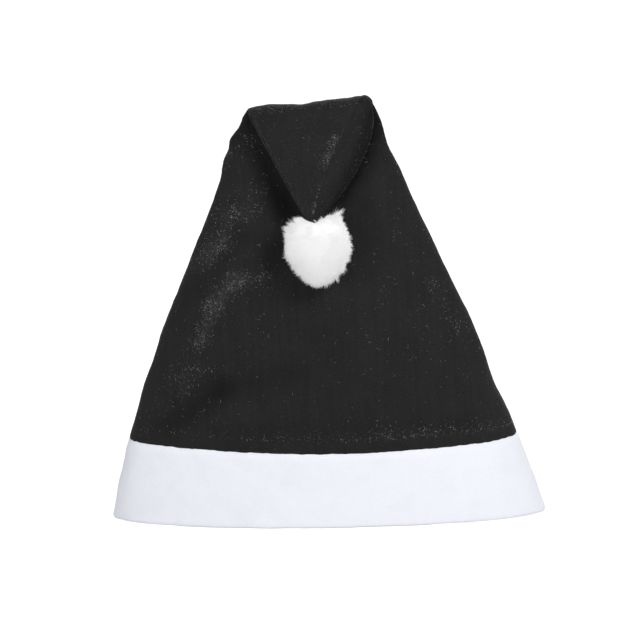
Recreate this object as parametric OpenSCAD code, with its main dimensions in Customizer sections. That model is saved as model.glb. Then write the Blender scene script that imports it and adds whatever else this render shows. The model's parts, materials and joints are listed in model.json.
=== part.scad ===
// Floppy felt party hat with a turned-over tip, a white band and a plush pompom.
// The hat stands on its brim, half open. Z is up, -Y is the front, +X is the viewer's right.
// The origin is the middle of the head opening, on the plane that the brim stands on.

/* [Head opening] */
// Width of the brim from side to side
brim_w = 272; // [250:1:300]
// Depth of the half-open brim from front to back
brim_depth = 90; // [80:1:110]

/* [Band] */
// Height of the white band at the sides
band_h = 50; // [42:1:60]
// How far the band's upper edge sags at the middle of the front and back
band_sag = 4; // [0:0.5:6]
// Thickness of the band, a strip folded in two
band_t = 3.2; // [2.4:0.1:3.4]
// Gap between the two ends of the strip, at the back
band_end_gap = 0.4; // [0.2:0.1:1]

/* [Crown] */
// Width of the crown along the band
crown_w = 246; // [230:1:256]
// Depth of the crown along the band
crown_depth = 78; // [68:1:86]
// Height of the fold line above the middle of the opening
fold_h = 262.7; // [240:0.1:290]
// Width of the crown along the fold line
fold_w = 78; // [64:1:90]
// Depth of the flattened crown at the fold line
fold_depth = 8; // [8:0.1:10]
// Sideways lean of the crown's middle line at the band
lean_low = -2.8; // [-6:0.1:0]
// Sideways lean of the crown's middle line at the fold
lean_top = -9.8; // [-14:0.1:0]
// Rise of the fold line towards the right, in degrees
fold_slant = 5.5; // [0:0.1:8]
// Thickness of the felt
felt_t = 1.2; // [1:0.1:1.3]
// Width of the seam allowance that is turned inside
allowance = 8; // [5:0.5:10]

/* [Turned-over tip] */
// Height of the point where the tip ends
tip_h = 189; // [180:1:200]
// Sideways place of the point where the tip ends
tip_x = -6.9; // [-12:0.1:0]
// Angle of the hanging tip from the vertical, in degrees
tip_angle = 18; // [16:0.5:20]
// Half the width of the blunt end
tip_end_w = 1.6; // [1.2:0.1:2]
// Soft roundness of the tip's outer layer
tip_bulge = 2.2; // [1:0.1:3]
// How far the tip's soft right side reaches past its ridge
tip_side = 15.5; // [8:0.5:16]

/* [Pompom] */
// Radius of the pompom, seen from the front
pompom_r = 24; // [22:0.5:25]
// Depth of the pompom from front to back
pompom_depth = 30; // [28:0.5:32]
// Depth of the notch that the tip is sewn into
notch = 13; // [11:0.5:14]
// Radius of the fibre ball inside, seen from the front
core_r = 13; // [10:0.5:13]
// Depth of the fibre ball inside
core_depth = 16; // [12:0.5:18]

/* [Thread] */
// Diameter of the sewing thread
thread_d = 0.8; // [0.6:0.1:1]
// Length of one stitch
stitch = 8; // [6:0.5:10]

/* [Hidden] */

clear = 0.3;           // room between pieces that move on each other
layer_gap = 0.3;       // room between two layers of felt that are sewn together
arc_steps = 24;        // columns along a panel
crown_steps = 11;      // rows between the band and the fold
tip_cols = 20;         // columns and rows of the tip's layers
tip_rows = 12;
ring_steps = 60;
band_seam_stitches = 60;
thread_sides = 6;

fold_slope = tan(fold_slant);
fold_gap = 0.4;        // each side of the fold line
hinge_y = -(fold_depth / 2 + 0.4);
tip_y = hinge_y - (fold_h - tip_h) * tan(tip_angle);
notch_floor = tip_h - 3;
pompom_mid_h = notch_floor + notch - pompom_r;
pompom_y = -(half_depth(pompom_mid_h) + pompom_depth / 2 + 1.8);
core_h = pompom_mid_h - 3;

felt_black = [0.07, 0.07, 0.07];
felt_white = [0.92, 0.92, 0.94];
fur_white = [0.95, 0.95, 0.94];
thread_black = [0.12, 0.12, 0.12];
thread_white = [0.85, 0.85, 0.86];

// ---- sizes of the hat at a height ----

function mix(a, b, f) = a + (b - a) * f;
function above_band(z) = (z - band_h) / (fold_h - band_h);
function half_width(z) =
    z < band_h ? mix(brim_w / 2, crown_w / 2, z / band_h)
               : mix(crown_w / 2, fold_w / 2, above_band(z));
function half_depth(z) =
    z < band_h ? mix(brim_depth / 2, crown_depth / 2, z / band_h)
               : mix(crown_depth / 2, fold_depth / 2, above_band(z));
function middle_x(z) =
    z < band_h ? mix(0, lean_low, z / band_h)
               : mix(lean_low, lean_top, above_band(z));
function seam_h(turn) = band_h - band_sag * pow(abs(sin(turn)), 2);
function fold_z(x) = fold_h + fold_slope * x;

// The crown is an oval at the band and flattens towards the fold, where its ends get blunt.
function bluntness(z) = mix(1, 0.5, pow(max(above_band(z), 0), 2));

// A point of the hat's wall: turn 0 is the right side and 270 the front; inset is measured inwards.
function wall(turn, z, inset) = [
    middle_x(z) + (half_width(z) - inset) * cos(turn),
    (half_depth(z) - inset) * sign(sin(turn)) * pow(abs(sin(turn)), bluntness(z)),
    z
];

// ---- solids from grids of points ----

function flat(rows) = [for (row = rows) for (p = row) p];

// A sheet with thickness: two grids of the same size, joined round their edges.
module sheet(outer, inner) {
    rows = len(outer);
    cols = len(outer[0]);
    half = rows * cols;
    function a(r, c) = r * cols + c;
    function b(r, c) = half + r * cols + c;
    polyhedron(
        points = concat(flat(outer), flat(inner)),
        faces = concat(
            [for (r = [0 : rows - 2]) for (c = [0 : cols - 2]) each [
                [a(r, c), a(r + 1, c), a(r + 1, c + 1)], [a(r, c), a(r + 1, c + 1), a(r, c + 1)],
                [b(r, c), b(r, c + 1), b(r + 1, c + 1)], [b(r, c), b(r + 1, c + 1), b(r + 1, c)]
            ]],
            [for (c = [0 : cols - 2]) each [
                [a(0, c), a(0, c + 1), b(0, c + 1)], [a(0, c), b(0, c + 1), b(0, c)],
                [a(rows - 1, c), b(rows - 1, c), b(rows - 1, c + 1)],
                [a(rows - 1, c), b(rows - 1, c + 1), a(rows - 1, c + 1)]
            ]],
            [for (r = [0 : rows - 2]) each [
                [a(r, 0), b(r, 0), b(r + 1, 0)], [a(r, 0), b(r + 1, 0), a(r + 1, 0)],
                [a(r, cols - 1), a(r + 1, cols - 1), b(r + 1, cols - 1)],
                [a(r, cols - 1), b(r + 1, cols - 1), b(r, cols - 1)]
            ]]
        ),
        convexity = 8
    );
}

function unit(v) = v / norm(v);

// A thread along a path. side is a direction that the path never runs along.
module thread(path, side, closed = false) {
    n = len(path);
    function ahead(i) = closed ? path[(i + 1) % n] : path[min(i + 1, n - 1)];
    function behind(i) = closed ? path[(i + n - 1) % n] : path[max(i - 1, 0)];
    rings = [for (i = [0 : n - 1])
        let (t = unit(ahead(i) - behind(i)), u = unit(cross(t, side)), v = cross(u, t))
        [for (k = [0 : thread_sides - 1])
            path[i] + thread_d / 2 * (cos(360 * k / thread_sides) * u + sin(360 * k / thread_sides) * v)]
    ];
    function at(i, k) = (i % n) * thread_sides + k % thread_sides;
    polyhedron(
        points = flat(rings),
        faces = concat(
            [for (i = [0 : n - (closed ? 1 : 2)]) for (k = [0 : thread_sides - 1]) each [
                [at(i, k), at(i, k + 1), at(i + 1, k + 1)], [at(i, k), at(i + 1, k + 1), at(i + 1, k)]
            ]],
            closed ? [] : [
                [for (k = [thread_sides - 1 : -1 : 0]) at(0, k)],
                [for (k = [0 : thread_sides - 1]) at(n - 1, k)]
            ]
        ),
        convexity = 8
    );
}

// ---- crown panels ----

// Each row of a panel: outer height, outer inset, inner height, inner inset, all from the seam.
tuck = band_t + layer_gap;
low_rows = [
    [-allowance, tuck, -allowance, tuck + felt_t],
    [0.2, tuck, 1.7, tuck + felt_t],
    [0.3, 0, 3, 1.8 * felt_t],
    [4, 0, 5, felt_t]
];

function row_of(turns, rise, inset, face_y, crease_inset) = [for (i = [0 : len(turns) - 1])
    let (
        edge = i == 0 || i == len(turns) - 1,
        turn = turns[i],
        seam = seam_h(turn),
        z = rise <= 5 ? seam + rise : mix(seam + 5, fold_h - fold_gap, (rise - 5) / (fold_h - seam - 5)),
        p = wall(turn, z, inset),
        inwards = cos(turn) > 0 ? -1 : 1,
        near_side = pow(abs(cos(turn)), 12),
        x = p[0] + inwards * (edge ? allowance : near_side * crease_inset),
        high = above_band(z)
    )
    [x, p[1] - face_y, p[2] + fold_slope * x * pow(max(high, 0), 3)]
];

// The front panel runs from the left side seam to the right one, with both allowances turned in.
module front_panel() {
    turns = concat([180], [for (i = [0 : arc_steps]) 180 + 180 * i / arc_steps], [360]);
    top = fold_h - band_h;
    rises = [for (i = [1 : crown_steps]) 5 + (top - 5) * i / crown_steps];
    rows_out = concat([for (r = low_rows) [r[0], r[1]]], [for (r = rises) [r, 0]]);
    rows_in = concat([for (r = low_rows) [r[2], r[3]]], [for (r = rises) [r, felt_t]]);
    seam_face = layer_gap / 2;
    sheet(
        [for (r = rows_out) row_of(turns, r[0], r[1], seam_face, 0)],
        [for (r = rows_in) inner_row(turns, r[0], r[1], seam_face)]
    );
}

// The inner face keeps the felt's thickness over the turned-in allowance.
function inner_row(turns, rise, inset, seam_face) =
    let (row = row_of(turns, rise, inset, seam_face, felt_t))
    [for (p = row) [p[0], min(p[1], -(seam_face + felt_t)), p[2]]];

module crown_front() {
    color(felt_black) front_panel();
}

module crown_back() {
    color(felt_black) mirror([0, 1, 0]) front_panel();
}

// ---- band ----

// The folded strip in section, from its upper outer edge round the fold: inset and part of the height.
band_section = [
    [0, 1], [-0.5, 0.94], [-1.1, 0.6], [-0.8, 0.25], [0, 0.03], [0.9, 0],
    [band_t - 0.9, 0], [band_t, 0.03], [band_t, 0.5], [band_t, 1]
];

module band() {
    start = 90 + asin(band_end_gap / brim_w);
    span = 360 - 2 * (start - 90);
    outer = [for (s = band_section) [for (i = [0 : ring_steps])
        let (turn = start + span * i / ring_steps) wall(turn, seam_h(turn) * s[1], s[0])]];
    cols = ring_steps + 1;
    m = len(band_section);
    function at(r, c) = (r % m) * cols + c;
    color(felt_white)
        polyhedron(
            points = flat(outer),
            faces = concat(
                [for (r = [0 : m - 1]) for (c = [0 : ring_steps - 1]) each [
                    [at(r, c), at(r, c + 1), at(r + 1, c + 1)], [at(r, c), at(r + 1, c + 1), at(r + 1, c)]
                ]],
                [for (r = [1 : m - 2]) each [
                    [at(0, 0), at(r, 0), at(r + 1, 0)],
                    [at(0, ring_steps), at(r + 1, ring_steps), at(r, ring_steps)]
                ]]
            ),
            convexity = 8
        );
}

// ---- stitching ----

// A running stitch: it crosses the felt, runs along one face, crosses back and runs along the other.
function running(n, place) = [for (i = [0 : n]) each
    [place(i, i % 2 == 0 ? 0 : 1), place(i, i % 2 == 0 ? 1 : 0)]];

module side_seam_thread(side) {
    low = band_h + 8;
    n = floor((fold_h - 14 - low) / stitch);
    out = layer_gap / 2 + felt_t + thread_d / 3;
    place = function(i, face)
        let (z = low + i * stitch)
        [middle_x(z) + side * (half_width(z) - 5), face == 0 ? -out : out,
         z + fold_slope * (middle_x(z) + side * half_width(z)) * pow(above_band(z), 3)];
    color(thread_black) thread(running(n, place), [1, 0, 0]);
}

module side_seam_thread_left() {
    side_seam_thread(-1);
}

module side_seam_thread_right() {
    side_seam_thread(1);
}

module band_seam_thread() {
    place = function(i, face)
        let (turn = 360 * i / band_seam_stitches, depth = tuck + felt_t)
        wall(turn, seam_h(turn) - 4, face == 0 ? band_t / 2 : depth + thread_d / 3);
    color(thread_white) thread(running(band_seam_stitches - 1, place), [0, 0, 1], closed = true);
}

module band_join_thread() {
    n = floor((band_h - band_sag - 12) / 5);
    place = function(i, face)
        let (z = 4 + 5 * i, reach = 2.2)
        [middle_x(z) + (face == 0 ? -reach : reach), half_depth(z) - band_t - thread_d / 6, z];
    color(thread_white) thread(running(n, place), [0, 1, 0]);
}

// ---- turned-over tip ----

outward = [0, -cos(tip_angle), sin(tip_angle)];

// The tip is a flattened cone that has turned a little: its left edge is a crisp crease, its right
// side seam lies on the front as a ridge, and right of the ridge it slopes back onto the crown.
function left_reach(q) = tip_end_w + (fold_w / 2 - 1.5 - tip_end_w) * pow(1 - q, 0.9);
function right_reach(q) = left_reach(q) + tip_side * sin(180 * pow(q, 0.8));
function ridge_share(q) = (fold_w / 2 - 2.8) * pow(1 - q, 1.45) / right_reach(q);

// The front face of the crown at a place, a little in front of the felt.
function crown_face(x, z) =
    let (share = min(1, abs(x - middle_x(z)) / half_width(z)))
    -(max(half_depth(z) * pow(1 - share * share, bluntness(z) / 2), 2 * felt_t) + 4 * clear);

// A point of the tip: across from -1 to 1, along from the fold (0) to the end (1), and height off.
function tip_point(across, along, off) =
    let (
        reach = across < 0 ? left_reach(along) : right_reach(along),
        x = mix(lean_top, tip_x, along) + across * reach,
        z = mix(fold_z(min(x, lean_top + fold_w / 2)) - fold_gap, tip_h, along),
        plane_y = mix(hinge_y, tip_y, along),
        past = max(0, (across - ridge_share(along)) / (1 - ridge_share(along))),
        settle = past * past * (3 - 2 * past) * min(1, 6 * along) * min(1, 5 * (1 - along)),
        y = mix(plane_y, max(plane_y, crown_face(x, z)), settle)
    )
    [x, y, z] + outward * off;

// Height of the outer layer's soft swell over the under layer.
function swell(across, along) =
    tip_bulge * (1 - pow(abs(across), 3)) * (1 - along) * min(1, 0.4 + 4 * along);

function tip_grid(off, outer) = [for (i = [0 : tip_rows]) [for (j = [0 : tip_cols])
    let (across = -1 + 2 * j / tip_cols, along = i / tip_rows)
    tip_point(across, along, off + (outer ? swell(across, along) : 0))]];

over_off = clear + felt_t + layer_gap;

module tip_under() {
    color(felt_black) sheet(tip_grid(clear, false), tip_grid(clear + felt_t, false));
}

module tip_over() {
    color(felt_black)
        sheet(tip_grid(over_off, true), tip_grid(over_off + felt_t, true));
}

// Stitches along the left crease and along the ridge.
module tip_seam_thread(side) {
    n = 8;
    place = function(i, face)
        let (
            along = 0.06 + 0.09 * i,
            across = side < 0 ? -1 + 1.6 / left_reach(along) : ridge_share(along) * 0.9,
            low = clear + 0.2 * felt_t,
            high = over_off + felt_t + thread_d / 3 + swell(across, along)
        )
        tip_point(across, along, face == 0 ? low : high);
    color(thread_black) thread(running(n, place), [1, 0, 0]);
}

module tip_seam_thread_left() {
    tip_seam_thread(-1);
}

module tip_seam_thread_right() {
    tip_seam_thread(1);
}

// ---- pompom ----

loop_r = 1.9;
// The pompom swings about a line across the hat, just below the end of the tip.
pivot = [tip_x, tip_y, tip_h - 1] + outward * (clear + felt_t + layer_gap / 2);

// The thread that holds the pompom passes through both layers of the tip and hangs in a small loop.
module pompom_tack_thread() {
    loop = [for (i = [0 : 15])
        pivot + [loop_r * cos(360 * i / 16), 0, 1.9 + loop_r * sin(360 * i / 16)]];
    color(thread_white) thread(loop, [0, 1, 0], closed = true);
}

// A flattened ball: round from the front, half as deep.
module flattened_ball(r, depth) {
    steps = 20;
    rotate([90, 0, 0])
        rotate_extrude($fn = 48)
            polygon(concat(
                [[0, -depth / 2]],
                [for (i = [1 : steps - 1])
                    let (a = -90 + 180 * i / steps) [r * cos(a), depth / 2 * sin(a)]],
                [[0, depth / 2]]
            ));
}

module pompom_cover() {
    flare = 0.69;
    floor_w = 2.6;
    rim_w = floor_w + flare * 2 * notch;
    color(fur_white)
        difference() {
            translate([tip_x, pompom_y, pompom_mid_h]) flattened_ball(pompom_r, pompom_depth);
            translate([tip_x, pompom_y, core_h]) flattened_ball(core_r + clear, core_depth + 2 * clear);
            translate([tip_x, pompom_y, notch_floor])
                rotate([90, 0, 0])
                    linear_extrude(height = 2 * pompom_depth, center = true)
                        polygon([[-floor_w, 0], [floor_w, 0], [rim_w, 2 * notch], [-rim_w, 2 * notch]]);
        }
}

module pompom_core() {
    color(fur_white) translate([tip_x, pompom_y, core_h]) flattened_ball(core_r, core_depth);
}

// The thread that gathers the mouth of the plush pouch, in the floor of the notch.
module pompom_gather_thread() {
    color(thread_white)
        translate([tip_x, pivot[1], notch_floor])
            rotate_extrude($fn = 32)
                translate([2, 0])
                    circle(d = thread_d, $fn = 16);
}

crown_front();
crown_back();
band();
side_seam_thread_left();
side_seam_thread_right();
band_seam_thread();
band_join_thread();
tip_under();
tip_over();
tip_seam_thread_left();
tip_seam_thread_right();
pompom_tack_thread();
pompom_cover();
pompom_core();
pompom_gather_thread();
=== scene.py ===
# %% [markdown]
# # A floppy felt party hat
#
# The real hat is sewn from two panels of thin black felt, a band of white felt folded in two, and a plush
# pompom. Its tip is turned over and lies on the front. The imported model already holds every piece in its
# place, with a hinge along the fold and another where the pompom hangs, so this script only builds the
# cloth, the fur and the finishes round it. Sizes are in millimetres, as on a sewing pattern, and each mesh
# gets them in metres.

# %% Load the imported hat
import itertools
import json
import math

import bpy
import numpy as np
from mathutils import Matrix, Vector


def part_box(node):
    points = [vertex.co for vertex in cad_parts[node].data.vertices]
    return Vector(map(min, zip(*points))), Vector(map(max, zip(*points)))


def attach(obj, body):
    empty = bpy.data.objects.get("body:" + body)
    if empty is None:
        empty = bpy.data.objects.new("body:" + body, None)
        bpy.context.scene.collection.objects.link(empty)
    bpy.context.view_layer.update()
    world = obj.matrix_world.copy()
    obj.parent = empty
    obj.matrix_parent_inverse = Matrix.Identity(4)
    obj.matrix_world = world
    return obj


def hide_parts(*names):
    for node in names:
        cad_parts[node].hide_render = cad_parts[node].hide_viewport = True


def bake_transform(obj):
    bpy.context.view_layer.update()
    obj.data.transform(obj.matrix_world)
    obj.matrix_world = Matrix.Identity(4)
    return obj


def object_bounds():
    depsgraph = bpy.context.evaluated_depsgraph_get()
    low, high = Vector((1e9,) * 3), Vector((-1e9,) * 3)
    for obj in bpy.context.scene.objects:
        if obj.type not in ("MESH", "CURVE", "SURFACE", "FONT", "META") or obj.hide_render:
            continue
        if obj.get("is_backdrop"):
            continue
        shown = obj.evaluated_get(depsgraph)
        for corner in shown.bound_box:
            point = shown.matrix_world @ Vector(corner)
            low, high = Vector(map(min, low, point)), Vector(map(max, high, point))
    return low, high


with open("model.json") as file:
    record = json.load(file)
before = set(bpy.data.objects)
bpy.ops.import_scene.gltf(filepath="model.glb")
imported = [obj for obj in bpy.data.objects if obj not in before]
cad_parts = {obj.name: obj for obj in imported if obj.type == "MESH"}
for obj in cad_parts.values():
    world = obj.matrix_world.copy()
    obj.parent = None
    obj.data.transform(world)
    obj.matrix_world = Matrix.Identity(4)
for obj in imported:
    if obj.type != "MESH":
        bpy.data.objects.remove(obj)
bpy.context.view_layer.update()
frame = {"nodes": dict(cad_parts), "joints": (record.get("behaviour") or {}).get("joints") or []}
nodes = frame["nodes"]
bpy.ops.object.select_all(action="DESELECT")
MM = 0.001

# %% [markdown]
# ## Camera
#
# The hat is seen straight from the front and a little from above. A long lens from far away keeps its sides
# nearly parallel, as in a catalogue picture. The camera is rolled by about one degree, so the hat seems
# turned a little to the left without being moved itself.

# %% Camera
camera_rise = math.radians(10)
camera_roll = math.radians(0.93)
camera_distance = 2.5
aim = Vector((-0.0086, 0, 0.1294))

camera_data = bpy.data.cameras.new("camera")
camera_data.lens = 229.2
camera_data.sensor_width = 36
camera = bpy.data.objects.new("camera", camera_data)
bpy.context.scene.collection.objects.link(camera)
camera.location = aim + camera_distance * Vector((0, -math.cos(camera_rise), math.sin(camera_rise)))
look = (aim - camera.location).to_track_quat("-Z", "Y")
camera.rotation_euler = (look.to_matrix() @ Matrix.Rotation(-camera_roll, 3, "Z")).to_euler()
bpy.context.scene.camera = camera
print("camera at", tuple(round(c, 3) for c in camera.location))

# %% [markdown]
# ## The form of the hat
#
# Cloth has no shape of its own, so the hat is first described as a form that the cloth lies on. Below the
# fold every level cut is an oval: wide and half open at the brim, small and flat at the fold. Three straight
# tapers give its width, its depth and the way its middle leans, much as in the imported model, whose brim is
# 3 mm narrower. Here the sides also swell and draw in a little, as soft felt does.

# %% Driving sizes of the form
brim_w, brim_depth = 275, 90
crown_w, crown_depth = 246, 78
fold_w, fold_depth = 78, 8
band_h, band_sag = 50, 4
fold_h = 262.7
fold_slope = math.tan(math.radians(5.5))
lean_low, lean_top = -2.8, -9.8
felt = 1.2


def taper(z, at_brim, at_band, at_fold):
    """A size that changes evenly from the brim to the band, and from the band to the fold."""
    low = at_brim + (at_band - at_brim) * z / band_h
    high = at_band + (at_fold - at_band) * (z - band_h) / (fold_h - band_h)
    return np.where(z < band_h, low, high)


def smooth(t):
    """Runs softly from 0 to 1."""
    t = np.clip(t, 0, 1)
    return t * t * (3 - 2 * t)


def bump_of(t):
    """A soft hump that is 1 at 0 and 0 past 1 on either side."""
    return 1 - smooth(np.abs(t))


def above_band(z):
    """0 at the band and below, 1 at the fold."""
    return np.clip((z - band_h) / (fold_h - band_h), 0, None)


def above_crown_foot(z):
    """0 at the band and below, 1 a little above it and up to the fold, where it fades again."""
    return smooth((z - band_h) / 14) * smooth((fold_h - z) / 8)


def half_width(z):
    """Half the width of the oval at a height, with the sides' soft swellings and hollows."""
    ease = 0.6 + 1.9 * bump_of((z - 120) / 45) - 1.5 * bump_of((z - 205) / 45)
    ease = ease + 1.3 * bump_of((z - 246) / 9)
    return taper(z, brim_w / 2, crown_w / 2, fold_w / 2) + ease * above_crown_foot(z)


def half_depth(z):
    return taper(z, brim_depth / 2, crown_depth / 2, fold_depth / 2)


def middle_x(z):
    """Where the middle of the oval lies from side to side."""
    ease = -1.2 * bump_of((z - 84) / 22) - 1.9 * bump_of((z - 232) / 16) - 1.3 * bump_of((z - 246) / 9)
    return taper(z, 0.6, lean_low, lean_top) + ease


def bluntness(z):
    """The power that shapes the oval: 1 is a true oval, and it is blunter towards the fold."""
    return 1 - 0.5 * above_band(z) ** 2


def fold_z(x):
    return fold_h + fold_slope * x


def cloud(points, size, seed):
    """Smooth noise between -1 and 1 at each point; size is the width of its blobs."""
    points = points / size + seed * 17.3
    cell = np.floor(points).astype(np.int64)
    part = points - cell
    ease = part**3 * (part * (part * 6 - 15) + 10)
    total = np.zeros(len(points))
    for corner in itertools.product((0, 1), repeat=3):
        at = cell + np.array(corner)
        mixed = at[:, 0] * 73856093 ^ at[:, 1] * 19349663 ^ at[:, 2] * 83492791 ^ seed * 2654435
        mixed = (mixed ^ (mixed >> 13)) * 1274126177 & 0xFFFFFFFF
        value = (mixed >> 8 & 0xFFFF) / 32767.5 - 1
        total += value * np.prod(np.where(corner, ease, 1 - ease), axis=1)
    return total


def wavy(turn, waves):
    """A sum of slow waves round the hat, each given as how many, how strong, and where it starts."""
    return sum(strong * np.sin(many * turn + start) for many, strong, start in waves)


seam_waves = [(5, 0.25, 0.4), (17, 0.1, 2.1), (61, 0.09, 0.9), (149, 0.1, 3.3)]


def seam_h(turn):
    """Height of the seam between felt and band: it sags at front and back and is never quite even."""
    tilt = 1.0 * np.cos(turn) * np.abs(np.sin(turn))
    return band_h - band_sag * np.sin(turn) ** 2 - tilt + wavy(turn, seam_waves)


print("crown at half height is", round(2 * float(half_width(156)), 1), "mm wide")

# %% [markdown]
# ## Laying cloth on the form
#
# A sheet of cloth starts as a flat grid and every point of it is then laid on the form. The rows of the
# grid run across the cloth and the columns run along it. The helper spaces the columns evenly along each
# row's true length, because cloth doesn't stretch, and writes the cloth's own flat measures into its UV
# map, so weave and fuzz keep their size wherever the sheet bends. Last, the sheet gets the thickness of
# real felt.

# %% Helpers for sheets
def only(piece):
    """Selects one piece and makes it active."""
    bpy.ops.object.select_all(action="DESELECT")
    piece.select_set(True)
    bpy.context.view_layer.objects.active = piece


def spaced(path, shares):
    """Points of a path at the given shares of its length."""
    steps = np.linalg.norm(np.diff(path, axis=0), axis=1)
    run = np.concatenate([[0], np.cumsum(steps)])
    run /= run[-1]
    return np.stack([np.interp(shares, run, path[:, k]) for k in range(3)], axis=1)


def lay_cloth(name, rows, flip=False):
    """A grid of cloth whose points are the rows (rows x columns x 3, in mm), with flat measures as UVs."""
    rows = np.asarray(rows, float)
    count_y, count_x = rows.shape[:2]
    bpy.ops.object.select_all(action="DESELECT")
    bpy.ops.mesh.primitive_grid_add(x_subdivisions=count_x - 1, y_subdivisions=count_y - 1, size=1)
    piece = bpy.context.object
    piece.name = name
    piece.data.name = name
    piece.data.vertices.foreach_set("co", (rows.reshape(-1, 3) * MM).ravel())
    across = np.cumsum(np.linalg.norm(np.diff(rows, axis=1), axis=2), axis=1)
    across = np.concatenate([np.zeros((count_y, 1)), across], axis=1)
    across -= across[:, -1:] / 2
    along = np.cumsum(np.linalg.norm(np.diff(rows, axis=0), axis=2), axis=0)
    along = np.concatenate([np.zeros((1, count_x)), along], axis=0)
    flat = np.stack([across, np.broadcast_to(along[:, count_x // 2, None], across.shape)], axis=2)
    corner = np.zeros(len(piece.data.loops), np.int32)
    piece.data.loops.foreach_get("vertex_index", corner)
    flat_uv = (flat.reshape(-1, 2) * MM)[corner]
    piece.data.uv_layers[0].data.foreach_set("uv", flat_uv.ravel())
    if flip:
        only(piece)
        bpy.ops.object.mode_set(mode="EDIT")
        bpy.ops.mesh.select_all(action="SELECT")
        bpy.ops.mesh.flip_normals()
        bpy.ops.object.mode_set(mode="OBJECT")
    return piece


def points_of(piece):
    co = np.empty(len(piece.data.vertices) * 3)
    piece.data.vertices.foreach_get("co", co)
    return co.reshape(-1, 3) / MM


def normals_of(piece):
    normals = np.empty(len(piece.data.vertices) * 3)
    piece.data.vertex_normals.foreach_get("vector", normals)
    return normals.reshape(-1, 3)


def move_points(piece, points):
    piece.data.vertices.foreach_set("co", (points * MM).ravel())
    piece.data.update()


def soften(piece, height, size, seed):
    """Moves every point a little along its normal by smooth noise, in mm."""
    points = points_of(piece)
    lift = height * cloud(points, size, seed)
    move_points(piece, points + normals_of(piece) * lift[:, None])


def thicken(piece, thickness):
    """Gives the cloth its thickness, half to each side."""
    only(piece)
    solid = piece.modifiers.new("solidify", "SOLIDIFY")
    solid.thickness = thickness * MM
    solid.offset = 0.0
    bpy.ops.object.modifier_apply(modifier=solid.name)
    bpy.ops.object.shade_smooth_by_angle(angle=math.radians(50))


def remember(piece, name, values):
    """Keeps one number per point of a piece under a name that its material can read."""
    attribute = piece.data.attributes.new(name, "FLOAT", "POINT")
    attribute.data.foreach_set("value", np.asarray(values, np.float32))


# %% [markdown]
# ## The turned-over tip as a flattened tube
#
# Past the fold the hat is a narrow cone that lies flat. It has turned a little as it fell, so the right
# side seam shows on its front as a ridge, and right of the ridge the front panel peeps out and slopes back
# onto the crown. A level cut of it is a thin loop: over the top from right to left, round the left crease,
# and back along the under side. Each panel is half of that loop, starting at the ridge.

# %% The tip's form
tip_h, tip_x = 189, -6.9
tip_tan = math.tan(math.radians(18))
tip_end_w = 1.6
tip_side = 12.5
tip_bulge = 2.2
hinge_y = -(fold_depth / 2 + 0.4)
tip_y = hinge_y - (fold_h - tip_h) * tip_tan
outward = np.array([0, -math.cos(math.radians(18)), math.sin(math.radians(18))])
under_off, over_off = 0.9, 2.4      # middle of the under and the over layer, measured from the form
side_sink = 5.4                     # how deep the soft right side lies in the crown's hollow
side_slope = 0.75                   # how steeply it can fall back at most, since felt is stiff
spread = 1.7                        # how far the layers spread apart right at the fold
spread_reach = 0.22                 # share of the tip's length that this takes


def tip_middle(q):
    """The tip's middle from side to side, from the fold (q is 0) to its end (q is 1)."""
    return lean_top + (tip_x - lean_top) * q


def down_tip(z):
    """How far down the tip a height is, as a share."""
    return np.clip((fold_h - z) / (fold_h - tip_h), 0, 1)


def left_reach(q):
    return tip_end_w + (fold_w / 2 - 1.5 - tip_end_w) * (1 - q) ** 0.9


def right_reach(q):
    return left_reach(q) + tip_side * np.sin(np.pi * q ** 0.8)


def ridge_reach(q):
    return (fold_w / 2 - 2.8) * (1 - q) ** 1.45


def crown_face(x, z):
    """The crown's front face at a place, a little in front of the felt."""
    share = np.minimum(1, np.abs(x - middle_x(z)) / half_width(z))
    return -(np.maximum(half_depth(z) * (1 - share**2) ** (bluntness(z) / 2), 2 * felt) + felt)


def give(y):
    """How far the crown gives way under a press: fully where it is deep, not at all at its seams."""
    return smooth((np.abs(y) - 1.5) / 7)


def tip_place(x, off, q):
    """Where a point of the loop lies: x across, off from the form, q from the fold (0) to the end (1)."""
    middle = tip_middle(q)
    fold_line = fold_z(np.minimum(x, lean_top + fold_w / 2)) - 0.4
    z = fold_line + (tip_h - fold_line) * q
    plane = hinge_y + (tip_y - hinge_y) * q
    ridge = ridge_reach(q)
    past = smooth((x - middle - ridge) / (right_reach(q) - ridge))
    settle = past * smooth((q - 0.09) / 0.2) * min(1, 5 * (1 - q))
    face = crown_face(x, z)
    face = face + side_sink * give(face + felt)
    drop = np.maximum(plane, face) - plane
    limit = side_slope * (right_reach(q) - ridge) + 0.1
    y = plane + settle * drop / (1 + (drop / limit) ** 4) ** 0.25
    return np.stack([x, y, z], axis=-1) + off[:, None] * outward


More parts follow.
